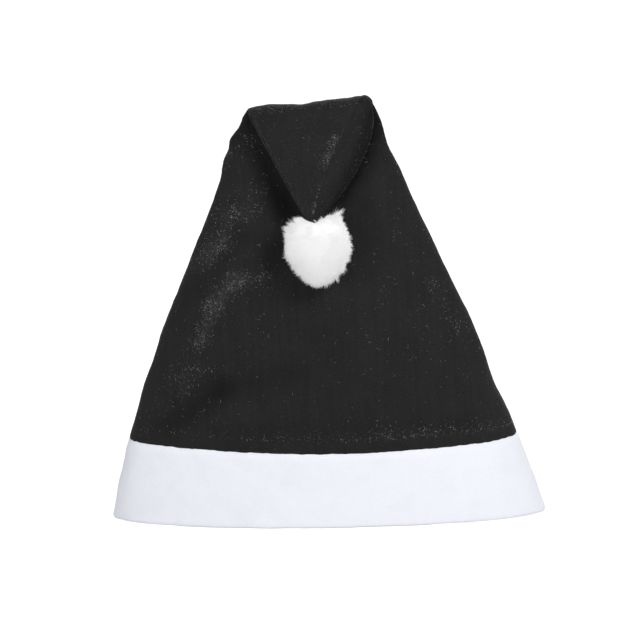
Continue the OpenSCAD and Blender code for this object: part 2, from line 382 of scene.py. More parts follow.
def tip_loop(q):
    """The loop at q, from the ridge over the left crease and the under side back to the ridge."""
    middle = tip_middle(q)
    left, right = middle - left_reach(q), middle + right_reach(q)
    apart = spread * max(0, 1 - q / spread_reach) ** 2
    under, over = under_off + apart, over_off + apart * 1.3
    round_r = (over - under) / 2
    mid_off = (over + under) / 2
    ease = 0.5 * (1 - np.cos(np.linspace(0, np.pi, 120)))
    x_top = right - round_r + (left - right + 2 * round_r) * ease
    share = np.abs((x_top - middle) / np.where(x_top < middle, left_reach(q), right_reach(q)))
    swell = tip_bulge * (1 - share**3) * (1 - q) * min(1, 0.4 + 4 * q)
    swell += 0.4 * bump_of((x_top - middle - ridge_reach(q)) / 2.6) * min(1, 8 * (1 - q))
    thin = smooth(1 - (right - x_top) / 7) * smooth((q - 0.1) / 0.15)
    swell -= 1.0 * thin
    arc = np.linspace(0, np.pi, 12)[1:-1]
    x_left = left + round_r - round_r * np.sin(arc)
    off_left = mid_off + round_r * np.cos(arc)
    end_r = (over - under - 1.0 * smooth((q - 0.1) / 0.15)) / 2
    x_right = right - round_r + round_r * np.sin(arc)
    off_right = under + end_r - end_r * np.cos(arc)
    x = np.concatenate([x_top, x_left, x_top[::-1], x_right, x_top[:1]])
    off = np.concatenate([over + swell, off_left, np.full(120, under), off_right, (over + swell)[:1]])
    loop = tip_place(x, off, q)
    ridge = int(np.argmin(np.abs(x_top - (middle + ridge_reach(q)))))
    return np.concatenate([loop[ridge:-1], loop[: ridge + 1]])


def half_of(loop, first, shares):
    """One half of a closed loop: the first half or the second. Its last millimetre passes under the
    other half, as the turned-in edge of a seam does."""
    row = spaced(loop, shares / 2 if first else 0.5 + shares / 2)
    girth = np.linalg.norm(np.diff(loop, axis=0), axis=1).sum() / 2
    from_end = np.minimum(shares, 1 - shares) * girth
    dip = 0.16 * (1 - smooth(from_end / 1.1))
    middle = loop.mean(axis=0)
    inward = np.sign((middle - row) @ outward)
    row = row + (dip * inward)[:, None] * outward
    if not first:
        row[-1] += (row[-1] - row[-3]) / np.linalg.norm(row[-1] - row[-3]) * 1.0 - outward * 1.1
        row[0] += (row[0] - row[2]) / np.linalg.norm(row[0] - row[2]) * 1.0 + outward * 0.7
    return row


print("the tip hangs from", round(fold_h), "mm down to", tip_h, "mm")

# %% [markdown]
# ## The two felt panels
#
# Each panel is one piece of felt. The back one runs up the back, over the fold and down the front, where
# it is the face of the tip. The front one runs up the front, turns in a tight crease under the fold and
# goes down on the under side of the tip. A loft of rows is the plain way to make such a sheet: its rows
# follow the form up the crown, then an arc over the fold, then the loop of the tip. Along both seams the
# edge of the felt turns in, which leaves the fine groove of a sewn seam.

# %% Rows of a felt panel
columns = 131
shares = 0.5 * (1 - np.cos(np.linspace(0, np.pi, columns)))
shares = 0.55 * np.linspace(0, 1, columns) + 0.45 * shares
tuck = 3.5
turn_in = 6.0
seam_y = 0.5
low_profile = [(-8, tuck), (-4, tuck), (-0.7, tuck), (0.25, 2.4)]
low_profile += [(0.5, 1.0), (0.75, 0.35), (1.3, 0.05), (5, 0)]
shoulder = 6.0


def left_drop(x, left_end):
    """The left shoulder is a round corner: how far the fold line drops there."""
    inside = np.clip(shoulder - (x - left_end), 0, shoulder)
    return shoulder - np.sqrt(np.maximum(shoulder**2 - inside**2, 0.2))


def crown_row(side, rise, inset, top_gap, recede):
    """A row round half of the crown, from its right seam to its left one on the back (side 1), and from
    its left seam to its right one on the front (side -1). rise is from the seam below, or, past 5, a
    share 0 to 1 of the way up given as 5 + share."""
    turn = np.linspace(0, np.pi, 361) if side > 0 else np.linspace(np.pi, 2 * np.pi, 361)
    seam = seam_h(turn)
    top = fold_h - top_gap
    share = max(0.0, rise - 5)
    z = seam + rise if rise <= 5 else seam + 5 + (top - seam - 5) * share
    inset = inset + felt / 2
    sine = np.abs(np.sin(turn))
    x = middle_x(z) + (half_width(z) - inset) * np.cos(turn)
    depth = half_depth(z) - inset - recede * smooth((share - 0.88) / 0.12) * sine
    y = side * (depth * sine ** bluntness(z))
    lift = fold_slope * x * above_band(z) ** 3
    drop = left_drop(x, middle_x(z) - half_width(z)) * smooth((share - 0.8) / 0.2)
    row = np.stack([x, y, z + lift - drop], axis=1)
    row = row[side * y > seam_y + 0.9]
    flange = turn_in * (1 - smooth((share - 0.75) / 0.25)) + 0.8
    ends = []
    for end, inwards in ((row[0], -side), (row[-1], side)):
        ends.append(np.stack([
            [end[0] - inwards * 0.25, side * (seam_y + 0.45), end[2]],
            [end[0] + inwards * 0.25, side * (seam_y + 0.08), end[2]],
            [end[0] + inwards * 1.2, side * seam_y, end[2]],
            [end[0] + inwards * (1.2 + flange), side * seam_y, end[2]],
        ]))
    return np.concatenate([ends[0][::-1], row, ends[1]])


def fold_unevenness(x):
    """The fold is pressed flat in one place and stands up a little in others."""
    return 1.3 * bump_of((x + 35) / 15) - 1.0 * bump_of((x + 12) / 9) + 0.5 * bump_of((x - 24) / 10)


def over_fold(start, end, rise, rise_at_ends, steps):
    """Rows of an arc from one row over to another. At its two ends, where the seams cross the fold, the
    arc may rise higher, so that both panels meet there."""
    near_end = smooth((np.abs(shares - 0.5) - 0.44) / 0.06)
    rises = rise + (rise_at_ends - rise) * near_end
    rows = []
    for angle in np.linspace(0, np.pi, steps)[1:-1]:
        row = start + (end - start) * (1 - math.cos(angle)) / 2
        row[:, 2] += (rises + fold_unevenness(row[:, 0])) * math.sin(angle)
        rows.append(row)
    return rows


def crown_rows(side, top_gap, recede, count):
    rows = [crown_row(side, rise, inset, top_gap, recede) for rise, inset in low_profile]
    rows += [crown_row(side, 5 + share, 0, top_gap, recede) for share in np.linspace(0, 1, count)[1:]]
    return [spaced(row, shares) for row in rows]


def tip_rows(first, qs):
    return [half_of(tip_loop(q), first, shares) for q in qs]


back_rows = crown_rows(1, 4.8, 1.2, 96)
back_tip = tip_rows(True, np.linspace(0.06, 1, 64))
back_rows += over_fold(back_rows[-1], back_tip[0], 4.4, 4.4, 16) + back_tip

front_rows = crown_rows(-1, 3.0, 1.6, 96)
front_tip = tip_rows(False, np.linspace(0.035, 1, 64))
front_rows += over_fold(front_rows[-1], front_tip[0], 1.25, 2.9, 12) + front_tip
split = len(front_rows) - 61
print("back panel", len(back_rows), "rows, front panel", len(front_rows), "rows of", columns, "columns")

# %% Lay the panels
felt_back = lay_cloth("felt_back_panel", back_rows)
felt_front = lay_cloth("felt_front_panel", front_rows[: split + 1])
felt_tip_front = lay_cloth("felt_front_panel_tip", front_rows[split:])
print("flat widths along the band, mm:", round(np.linalg.norm(np.diff(back_rows[8], axis=0), axis=1).sum()))

# %% [markdown]
# ## Dents, soft wear and painted shade
#
# Felt that has been folded in a bag keeps soft hollows. Most are a millimetre or two deep, and under the
# right side of the tip the crown gives way by up to nearly seven. They turn the surface enough to catch or
# lose the light. Each hollow here is a line across the front of the hat with a width and a depth, and where
# lines meet, their depths add up. Lines of the same kind say where the nap is rubbed up and looks paler, and
# where shade is painted into the felt as darker colour: beside and under the tip, along the band and in the
# hollows. A thin band along the top edge of the fold counts as rubbed too, which paints a highlight there.
# The material reads these from the mesh.

# %% Hollows, rubbed places and painted shade
def tip_side_line(q, shift):
    """A point of the line where the tip's right side lies on the crown, as seen from the front."""
    x = tip_middle(q) + right_reach(q)
    line = tip_place(np.array([x]), np.zeros(1), q)[0]
    return line[0] + shift, line[2]


side_stops = [0.1, 0.2, 0.32, 0.47, 0.62, 0.77, 0.9]
side_spans = list(zip(side_stops[:-1], side_stops[1:]))
# Each line: from (x, z) to (x, z) in mm, how wide, and how deep (a minus sign is a swelling) or how strong.
hollows = [(tip_side_line(a, 2), tip_side_line(b, 2), 12, 1.35) for a, b in side_spans]
hollows += [(tip_side_line(a, -2), tip_side_line(b, -2), 4.5, 1.5) for a, b in side_spans]
hollows += [
    ((12, 201), (2, 168), 15, 1.6),
    ((-40, 236), (-24, 196), 13, 1.6),     # behind the tip's left crease
    ((-26, 200), (-34, 150), 17, 1.3),
    ((-88, 58), (-42, 92), 17, 1.5),       # lower left
    ((-42, 92), (10, 98), 20, 0.7),
    ((-60, 64), (92, 68), 9, 0.7),         # along the band
    ((-76, 112), (-64, 148), 12, -1.3),    # swelling beside it
    ((-64, 148), (-30, 158), 12, -0.9),
    ((66, 150), (96, 84), 16, 0.9),
    ((104, 92), (112, 64), 8, -0.6),
    ((-92, 122), (-104, 84), 12, 0.8),
]
rubbed = [
    ((-79, 114), (-70, 138), 5.5, 1.0),
    ((-70, 138), (-57, 153), 6.5, 1.0),
    ((-57, 153), (-36, 156), 5.5, 0.75),
    ((-72, 170), (-64, 176), 8, 0.9),
    ((-84, 160), (-74, 166), 6, 0.55),
    ((-60, 192), (-48, 197), 8, 0.8),
    ((-66, 224), (-58, 232), 6, 0.5),
    ((-48, 238), (-42, 242), 6, 0.6),
    ((-40, 208), (-34, 212), 5, 0.4),
    ((-92, 88), (-80, 98), 8, 0.5),
    ((30, 57), (112, 56), 6, 0.5),
    ((66, 148), (84, 118), 5, 0.4),
]
# Painted shade: lines where the felt is painted darker, beside and under the tip, along the band and in the
# hollows, where shade falls.
painted_shade = [(tip_side_line(a, 1), tip_side_line(b, 1), 8.0, 0.42) for a, b in side_spans]
painted_shade += [(tip_side_line(a, 0), tip_side_line(b, 0), 1.6, 0.5) for a, b in side_spans]
painted_shade += [
    ((26, 240), (14, 214), 6, 0.25),
    ((-50, 244), (-24, 197), 9, 0.55),
    ((-28, 200), (-30, 168), 10, 0.35),
    ((-100, 62), (-66, 86), 9, 0.45),
    ((-66, 86), (-20, 94), 10, 0.25),
    ((-96, 128), (-80, 148), 6, 0.2),
    ((-50, 182), (-70, 158), 6, 0.25),
    ((-10, 128), (10, 92), 14, 0.12),
    ((6, 186), (26, 200), 8, 0.2),
    ((-70, 60), (90, 60), 7, 0.2),
]


def near_line(x, z, start, end, width):
    """1 on a line in the front view, falling softly to 0 at its width."""
    ax, az = start
    dx, dz = end[0] - ax, end[1] - az
    along = np.clip(((x - ax) * dx + (z - az) * dz) / (dx * dx + dz * dz), 0, 1)
    away = np.hypot(x - ax - along * dx, z - az - along * dz)
    return bump_of(away / (1.6 * width))


def along_lines(x, z, lines):
    """What all the lines add up to at each place in the front view."""
    return sum(near_line(x, z, start, end, width) * how for start, end, width, how in lines)


def press_hollows(piece, side, lines, top):
    """Presses the hollows into one side of the crown, fading out at the seams, the band and the fold."""
    points = points_of(piece)
    x, y, z = points.T
    on_crown = smooth((z - 52) / 8) * smooth((top - z) / 14) * give(y) * (side * y > 0)
    points[:, 1] -= side * along_lines(x, z, lines) * on_crown
    move_points(piece, points)


def slow_waves(piece, height, size, seed, side, top):
    """Gives a face of the crown a slow unevenness, in and out of the hat."""
    points = points_of(piece)
    fade = smooth((points[:, 2] - 52) / 10) * smooth((top - points[:, 2]) / 20)
    fade *= smooth((side * points[:, 1] - 2) / 10)
    points[:, 1] += side * height * fade * cloud(points, size, seed)
    move_points(piece, points)


back_hollows = [
    ((-70, 90), (-20, 120), 20, 1.6),
    ((40, 80), (74, 132), 18, 1.4),
    ((-30, 214), (16, 206), 13, 1.2),
    ((-10, 160), (26, 176), 18, -1.2),
]
press_hollows(felt_front, -1, hollows, 262)
press_hollows(felt_back, 1, back_hollows, 256)
slow_waves(felt_front, 1.1, 40, 3, -1, 254)
slow_waves(felt_front, 0.3, 14, 5, -1, 258)
slow_waves(felt_back, 1.5, 40, 9, 1, 254)
slow_waves(felt_back, 0.3, 14, 6, 1, 258)

laid = {}                           # each panel's middle surface, kept for sowing fuzz on it later
for number, panel in enumerate((felt_back, felt_front, felt_tip_front)):
    soften(panel, 0.22, 4.5, number + 1)
    laid[panel.name] = points_of(panel).reshape(-1, columns, 3)
    thicken(panel, felt)
    x, y, z = points_of(panel).T
    if panel == felt_front:
        worn = along_lines(x, z, rubbed)
    elif panel == felt_back:
        worn = 0.8 * near_line(x, z, (-60, 120), (-30, 150), 12)
        worn = worn + 0.6 * near_line(x, z, (50, 90), (66, 120), 10)
        worn = worn * (y > 0) + 0.5 * near_line(x, z, (6, 222), (14, 228), 5) * (y < 0)
    else:
        worn = np.zeros(len(x))
    # A paler band along the top edge of the fold is a painted highlight. It is stored with the rubbed nap.
    edge_z = fold_z(x) + 0.2
    worn = np.maximum(worn, 0.5 * smooth((z - edge_z + 1.3) / 1.3))
    remember(panel, "rubbed", np.clip(worn, 0, 1))
    # The painted shade is kept on the front faces, for the material to darken the felt there.
    shows = np.zeros(len(x)) if panel == felt_back else (y < 0)
    remember(panel, "painted_shade", np.clip(along_lines(x, z, painted_shade) * shows, 0, 0.8))
print("panel points:", [len(p.data.vertices) for p in (felt_back, felt_front, felt_tip_front)])

# %% [markdown]
# ## The white band
#
# The band is one strip, folded lengthwise along its lower edge and sewn on round the crown, with its two
# ends meeting at the back. Swept round the opening, its section is a long narrow U: down the outer face,
# round the soft lower fold and up the inner face. The strip's felt has its own thickness, and the two
# layers lie close together.

# %% The band
band_felt = 1.4
band_columns = 361
outer_inset, inner_inset = band_felt / 2, 3.2 - band_felt / 2
band_waves = [(3, 0.35, 0.3), (5, 0.3, 1.9), (9, 0.2, 4.0), (14, 0.12, 1.0)]


def band_section():
    """The U of the band from its upper outer edge to its upper inner edge: inset and share of height."""
    heights = np.linspace(1, 0.04, 24)
    outer = [(outer_inset - 0.5 * math.sin(math.pi * min(1, h * 1.02)) ** 0.7, h) for h in heights[2:]]
    rolled = [(2.2, 0.985), (1.5, 1.0), (0.95, 0.99)]
    under = [(outer_inset + 0.1, 0.022), (1.1, 0.0145), (1.75, 0.0145), (inner_inset - 0.1, 0.025)]
    inner = [(inner_inset, h) for h in np.linspace(0.06, 0.97, 18)]
    return rolled + outer + under + inner


def hat_wall(turn, z, inset):
    x = middle_x(z) + (half_width(z) - inset) * np.cos(turn)
    y = (half_depth(z) - inset) * np.sin(turn)
    return np.stack([x, y, z], axis=1)


gap_turn = math.asin(0.4 / brim_w)
turns = np.linspace(math.pi / 2 + gap_turn, 2.5 * math.pi - gap_turn, band_columns)
from_end = np.minimum(turns - turns[0], turns[-1] - turns) * brim_w / 2
band_rows = []
for inset, share in band_section():
    z = seam_h(turns) * share
    wobble = wavy(turns, band_waves) * math.sin(math.pi * min(share, 1)) * 0.8
    pull = 0.9 * (1 - smooth(from_end / 2.2))
    sign = 1 if inset < 1.45 else -1
    band_rows.append(hat_wall(turns, z, inset + wobble * (sign > 0) + sign * pull))
felt_band = lay_cloth("felt_band", band_rows, flip=True)
soften(felt_band, 0.3, 12, 4)
soften(felt_band, 0.12, 3.5, 5)
thicken(felt_band, band_felt)
print("band points:", len(felt_band.data.vertices))

# %% [markdown]
# ## The pompom
#
# The pompom is a small pouch of plush, gathered and sewn to the very end of the tip, so it hangs like an
# apple with a cleft at the top where the tip goes in. Its body is a ball that is squeezed from front to
# back. Plush is all about its pile: thousands of short soft fibres that gather in little locks. Each fibre
# here is a slim three-sided spike, bent towards the middle of its lock.

# %% The body of the pompom
low, high = (np.array(corner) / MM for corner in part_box("pompom_cover"))
pompom_mid = (low + high) / 2
pompom_mid[0] += 2.6
pompom_mid[2] = high[2] - 21.6
pompom_reach = np.array([18.6, 11.6, 20.6])


def pompom_form(direction):
    """Distance of the body's surface along a direction, as a share of its reach."""
    across, up = direction[:, 0], direction[:, 2]
    angle = np.degrees(np.arctan2(up, across))
    edge = np.clip(np.hypot(across, up), 0, 1)
    cleft = 0.25 * bump_of((angle - 95) / 26) * edge ** 6
    lobes = 0.13 * bump_of((angle - 58) / 28) + 0.06 * bump_of((angle - 130) / 24)
    chin = 0.04 * bump_of((angle + 92) / 30)
    slim = -0.13 * bump_of((angle + 142) / 48) - 0.10 * bump_of((angle + 40) / 48)
    return 1 - cleft + (lobes + chin + slim) * edge ** 3


swing_hinge = np.array(frame["joints"][1]["pos_m"]) / MM
swing_steps = np.radians([0, 12, 24, 36, 48, 60])


def meets_tip(points, spare=0.5):
    """True for points that would enter the felt of the tip at one of the swing steps."""
    meets = np.zeros(len(points), bool)
    y0, z0 = (points - swing_hinge)[:, 1:].T
    for angle in swing_steps:
        y = swing_hinge[1] + y0 * math.cos(angle) + z0 * math.sin(angle)
        z = swing_hinge[2] - y0 * math.sin(angle) + z0 * math.cos(angle)
        q = down_tip(z)
        off = (hinge_y + (tip_y - hinge_y) * q - y) * -outward[1]
        x = points[:, 0] - tip_middle(q)
        in_felt = (off > under_off - 0.6 - spare) & (off < over_off + 1.2 + spare)
        meets |= in_felt & (x > -left_reach(q) - spare) & (x < right_reach(q) + spare) & (z > tip_h - 0.5)
    return meets


bpy.ops.object.select_all(action="DESELECT")
bpy.ops.mesh.primitive_ico_sphere_add(subdivisions=6, radius=1)
pompom = bpy.context.object
pompom.name = "pompom_plush"
ball = np.array([v.co for v in pompom.data.vertices])
body = ball * pompom_reach * pompom_form(ball)[:, None] + pompom_mid
move_points(pompom, body)
soften(pompom, 0.4, 7, 7)
body = points_of(pompom)
for _ in range(14):                 # presses the body in where the tip goes in, so that it can swing
    inside = meets_tip(body)
    body[inside] += 0.04 * (pompom_mid - body[inside])
move_points(pompom, body)
only(pompom)
bpy.ops.object.shade_smooth()
remember(pompom, "along_fibre", np.zeros(len(pompom.data.vertices)))
print("pompom middle", pompom_mid.round(1))

# %% The pile
pile_count = 30000
lock_count = 900
pile_seed = np.random.default_rng(24)


def even_directions(count, rng):
    """Directions spread evenly over a ball, each a little off its place."""
    i = np.arange(count) + 0.5
    up = 1 - 2 * i / count
    turn = np.pi * (1 + 5**0.5) * i
    flat = np.sqrt(1 - up**2)
    dirs = np.stack([flat * np.cos(turn), flat * np.sin(turn), up], axis=1)
    dirs += rng.normal(0, 0.5 / count**0.5, dirs.shape)
    return dirs / np.linalg.norm(dirs, axis=1)[:, None]


def unit(v):
    return v / np.linalg.norm(v, axis=1)[:, None]


def fibres(name, roots, ways, lengths, widths, bends, rings=3):
    """One mesh of many fibres. Each starts at its root, runs its way and is bent sideways by bends."""
    count = len(roots)
    side = unit(np.cross(ways, np.array([0.31, 0.83, 0.47])))
    other = np.cross(ways, side)
    points, along = [], []
    for ring in range(rings):
        t = ring / rings
        centre = roots + ways * (lengths * t)[:, None] + bends * t * t
        r = (widths / 2 * (1 - 0.55 * t))[:, None]
        for k in range(3):
            angle = 2 * math.pi * k / 3
            points.append(centre + r * (math.cos(angle) * side + math.sin(angle) * other))
            along.append(np.full(count, t))
    points.append(roots + ways * lengths[:, None] + bends)
    along.append(np.ones(count))
    per = rings * 3 + 1
    co = np.stack(points, axis=1).reshape(-1, 3)
    faces = [(2, 1, 0)]
    for ring in range(rings - 1):
        for k in range(3):
            a, b = ring * 3 + k, ring * 3 + (k + 1) % 3
            faces += [(a, b, b + 3), (a, b + 3, a + 3)]
    last = (rings - 1) * 3
    faces += [(last + k, last + (k + 1) % 3, last + 3) for k in range(3)]
    faces = np.array(faces)
    all_faces = (faces[None] + (np.arange(count) * per)[:, None, None]).reshape(-1, 3)
    mesh = bpy.data.meshes.new(name)
    mesh.vertices.add(len(co))
    mesh.vertices.foreach_set("co", (co * MM).ravel())
    mesh.loops.add(len(all_faces) * 3)
    mesh.loops.foreach_set("vertex_index", all_faces.ravel())
    mesh.polygons.add(len(all_faces))
    mesh.polygons.foreach_set("loop_start", np.arange(len(all_faces)) * 3)
    mesh.update(calc_edges=True)
    mesh.validate()
    mesh.shade_smooth()
    piece = bpy.data.objects.new(name, mesh)
    bpy.context.scene.collection.objects.link(piece)
    remember(piece, "along_fibre", np.stack(along, axis=1).ravel())
    return piece


def on_pompom(directions):
    return directions * pompom_reach * pompom_form(directions)[:, None]


root_dirs = even_directions(pile_count, pile_seed)
angle = np.degrees(np.arctan2(root_dirs[:, 2], root_dirs[:, 0]))
rim = np.hypot(root_dirs[:, 0], root_dirs[:, 2])
roots = on_pompom(root_dirs) * 0.97 + pompom_mid
locks = even_directions(lock_count, pile_seed)
lock_of = np.argmax(root_dirs @ locks.T, axis=1)
lock_lean = pile_seed.normal(0, 1, (lock_count, 3))[lock_of]
swirl = np.stack([cloud(root_dirs, 0.45, seed) for seed in (31, 32, 33)], axis=1)
normal = unit(root_dirs / pompom_reach)
shaggy = np.maximum(bump_of((angle - 146) / 24), 0.85 * bump_of((angle - 66) / 26))
shaggy = np.maximum(shaggy, 0.5 * bump_of((angle + 44) / 34)) * smooth((rim - 0.7) / 0.25)
edge = smooth((rim - 0.75) / 0.2)
lean_share = 0.05 + 0.14 * edge + 0.2 * shaggy
ways = unit(normal + 0.10 * swirl + lean_share[:, None] * lock_lean
            + pile_seed.normal(0, 0.16, normal.shape))
lengths = pile_seed.uniform(2.4, 3.8, pile_count)
lengths *= 1 + (0.10 + 0.12 * edge) * pile_seed.normal(0, 1, lock_count)[lock_of]
lengths *= 1 + shaggy * (0.8 + 0.6 * bump_of((angle - 146) / 24))
lengths *= 1 - 0.5 * bump_of((angle - 95) / 20) * (rim > 0.5)
lengths *= 1 - 0.25 * smooth(root_dirs[:, 1] / 0.6)
lengths = np.clip(lengths, 1.2, 8)
lock_tip = (on_pompom(locks) + pompom_mid)[lock_of] + normal * lengths[:, None]
straight_tip = roots + ways * lengths[:, None]
gather = (0.06 + 0.12 * edge + 0.36 * shaggy)[:, None]
bends = gather * (lock_tip + 0.2 * lock_lean * lengths[:, None] - straight_tip)
bends[:, 2] -= 0.5
widths = pile_seed.uniform(0.13, 0.24, pile_count) * (1 - 0.3 * shaggy)
free = ~(meets_tip(roots) | meets_tip((roots + straight_tip) / 2) | meets_tip(straight_tip + bends))
pile = fibres("pompom_pile", roots[free], ways[free], lengths[free], widths[free], bends[free])
only(pile)
pompom.select_set(True)
bpy.context.view_layer.objects.active = pompom
bpy.ops.object.join()
print("pompom triangles:", len(pompom.data.polygons))

# %% [markdown]
# ## Fuzz and lint
#
# Cheap felt sheds: single fibres stand up along its folds and seams, the nap is tangled where it has been
# rubbed, and pale lint sticks everywhere. Noise in a texture can hint at that, but real little fibres catch
# the light at the edges of the hat, so they are built. The middle surface of each panel was kept as it was
# laid, a grid of points. Fibres are sown on it at random, closer together where the nap is rubbed, and set
# out along its normals by half the thickness of the felt.

# %% Fuzz
fuzz_seed = np.random.default_rng(7)


def skin_of(rows, keep_rows):
    """Some rows of a panel's laid middle surface: points and normals in a grid."""
    along = np.gradient(rows, axis=0)
    across = np.gradient(rows, axis=1)
    normals = np.cross(across, along)
    normals /= np.linalg.norm(normals, axis=2)[:, :, None] + 1e-9
    return rows[keep_rows], normals[keep_rows]


def sow(skin, weight, count, rng):
    """Places on a skin, taken at random with a chance that follows the weight."""
    points, normals = skin
    tries = count * 60
    r = rng.uniform(0, points.shape[0] - 1.001, tries)
    c = rng.uniform(5, points.shape[1] - 6.001, tries)
    ri, ci = r.astype(int), c.astype(int)
    fr, fc = (r - ri)[:, None], (c - ci)[:, None]
    place = (points[ri, ci] * (1 - fr) + points[ri + 1, ci] * fr) * (1 - fc)
    place += (points[ri, ci + 1] * (1 - fr) + points[ri + 1, ci + 1] * fr) * fc
    cell = np.linalg.norm(points[ri, ci + 1] - points[ri, ci], axis=1)
    cell *= np.linalg.norm(points[ri + 1, ci] - points[ri, ci], axis=1)
    chance = cell / cell.max() * weight(place)
    chosen = np.flatnonzero(rng.uniform(0, chance.max(), tries) < chance)[:count]
    return place[chosen], normals[ri, ci][chosen]


def fuzz(name, skin, weight, count, length, width, stand, pale):
    """Fibres that lie on a skin, standing up by the given share, each with its own paleness."""
    roots, normals = sow(skin, weight, count, fuzz_seed)
    n = len(roots)
    lie = unit(np.cross(normals, fuzz_seed.normal(0, 1, (n, 3))))
    ways = unit(lie + stand * fuzz_seed.uniform(0.3, 1, n)[:, None] * normals)
    lengths = fuzz_seed.uniform(*length, n)
    bends = np.cross(normals, ways) * (fuzz_seed.normal(0, 0.45, n) * lengths)[:, None]
    bends -= normals * (stand * 0.4 * lengths)[:, None]
    widths = fuzz_seed.uniform(*width, n)
    piece = fibres(name, roots + normals * (felt / 2 - 0.05), ways, lengths, widths, bends, rings=2)
    remember(piece, "paleness", np.repeat(fuzz_seed.uniform(*pale, n), 7))
    return piece


def joined(pieces):
    only(pieces[0])
    for piece in pieces[1:]:
        piece.select_set(True)
    bpy.ops.object.join()
    return pieces[0]


def rubbed_at(lines):
    def weight(place):
        x, z = place[:, 0], place[:, 2]
        worn = along_lines(x, z, lines)
        patchy = 0.4 + 0.6 * smooth((cloud(place, 5, 21) + 0.15) / 0.5)
        return worn * patchy * (cloud(place, 1.6, 22) > -0.2)
    return weight


def anywhere(place):
    return np.ones(len(place))


def in_clusters(place):
    return 0.04 + smooth((cloud(place, 4, 41) - 0.25) / 0.3) * smooth((cloud(place, 30, 42) + 0.3) / 0.6)


crown_top_row = 96 + len(low_profile) - 4
laid_front, laid_back, laid_side = (laid[p.name] for p in (felt_front, felt_back, felt_tip_front))
front_skin = skin_of(laid_front, slice(8, crown_top_row))
back_skin = skin_of(laid_back, slice(8, crown_top_row))
fold_skin = skin_of(laid_back, slice(crown_top_row, crown_top_row + 18))
tip_skin = skin_of(laid_back, slice(crown_top_row + 20, -6))
side_skin = skin_of(laid_side, slice(0, -6))


def low_edge(place):
    return smooth(1 - (place[:, 2] - 51) / 12)


def near_sides(place):
    x, y, z = place.T
    return smooth(1 - (half_width(z) - np.abs(x - middle_x(z))) / 3.5)


crown_fuzz = joined([
    fuzz("felt_fuzz_crown", front_skin, rubbed_at(rubbed), 3100, (0.5, 1.7), (0.10, 0.18), 0.5, (0.1, 1.0)),
    fuzz("fuzz_a", front_skin, in_clusters, 1000, (0.7, 2.2), (0.08, 0.16), 0.35, (0.1, 1.0)),
    fuzz("fuzz_b", front_skin, low_edge, 420, (0.7, 2.2), (0.08, 0.15), 0.6, (0.1, 0.9)),
    fuzz("fuzz_c", front_skin, near_sides, 700, (0.6, 1.6), (0.06, 0.12), 0.8, (0.2, 0.8)),
    fuzz("fuzz_d", back_skin, near_sides, 700, (0.6, 1.6), (0.06, 0.12), 0.8, (0.2, 0.8)),
    fuzz("fuzz_e", back_skin, anywhere, 2600, (0.6, 1.9), (0.06, 0.12), 0.4, (0.1, 0.8)),
])


def along_ridge(place):
    x, z = place[:, 0], place[:, 2]
    q = down_tip(z)
    ridge = tip_middle(q) + ridge_reach(q)
    on_seam = bump_of((x - ridge) / 2.4) * (0.6 + 1.0 * smooth((q - 0.45) / 0.4))
    patches = along_lines(x, z, [((8, 221), (15, 228), 3.5, 1.4), ((2, 226), (8, 240), 4, 0.5)])
    return on_seam + patches


def left_crease(place):
    x, z = place[:, 0], place[:, 2]
    q = down_tip(z)
    crease = tip_middle(q) - left_reach(q)
    return bump_of((x - crease) / 2.5)


tip_fuzz = joined([
    fuzz("felt_fuzz_tip", tip_skin, along_ridge, 900, (0.6, 1.7), (0.07, 0.13), 0.5, (0.2, 1.0)),
    fuzz("fuzz_f", tip_skin, left_crease, 600, (0.5, 1.3), (0.06, 0.11), 0.9, (0.1, 0.7)),
    fuzz("fuzz_g", tip_skin, anywhere, 500, (0.6, 1.6), (0.06, 0.12), 0.35, (0.1, 0.8)),
    fuzz("fuzz_h", side_skin, anywhere, 500, (0.6, 1.6), (0.06, 0.12), 0.4, (0.1, 0.8)),
])
fold_fuzz = fuzz("felt_fuzz_fold", fold_skin, anywhere, 1300, (0.6, 1.7), (0.07, 0.12), 0.6, (0.2, 1.0))
print("fibres of fuzz:", [len(p.data.vertices) // 7 for p in (crown_fuzz, tip_fuzz, fold_fuzz)])

# %% [markdown]
# ## The finish of felt
#
# Felt has no weave. It is a mat of fibres that lie every way, so from close by it is a fine cloudy grain
# with tiny dark pits and pale flecks. That grain is needed for the black felt, the white felt and the
# fibre filling, so it is a node group with its own size. It puts out a grain mask, a fleck mask and a
# height. Each material then chooses its colours from the masks and raises its own bump.

# %% Grain node group
def new_group(name, inputs, outputs):
    group = bpy.data.node_groups.new(name, "ShaderNodeTree")
    for label, kind, value in inputs:
        socket = group.interface.new_socket(label, in_out="INPUT", socket_type=kind)
        if value is not None:
            socket.default_value = value
    for label in outputs:
        group.interface.new_socket(label, in_out="OUTPUT", socket_type="NodeSocketFloat")
    return group, group.nodes.new("NodeGroupInput"), group.nodes.new("NodeGroupOutput")


def add(tree, kind, **settings):
    """A node with its properties and its unlinked inputs set."""
    node = tree.nodes.new(kind)
    for name, value in settings.items():
        if hasattr(node, name):
            setattr(node, name, value)
        else:
            node.inputs[name.replace("_", " ")].default_value = value
    return node


def math_node(tree, operation, a, b):
    node = tree.nodes.new("ShaderNodeMath")
    node.operation = operation
    for socket, value in zip(node.inputs, (a, b)):
        if isinstance(value, (int, float)):
            socket.default_value = value
        else:
            tree.links.new(value, socket)
    return node.outputs[0]


def ramp(tree, value, low, high, start=0.0, end=1.0):
    node = tree.nodes.new("ShaderNodeMapRange")
    node.interpolation_type = "SMOOTHSTEP"
    for label, limit in (("From Min", low), ("From Max", high), ("To Min", start), ("To Max", end)):
        node.inputs[label].default_value = limit
    tree.links.new(value, node.inputs["Value"])
    return node.outputs["Result"]


grain_group, grain_in, grain_out = new_group(
    "felt_grain",
    [("Vector", "NodeSocketVector", None), ("Fibre Size", "NodeSocketFloat", 900.0)],
    ["Grain", "Flecks", "Height", "Clouds"],
)
links = grain_group.links
fibre_size = grain_in.outputs["Fibre Size"]


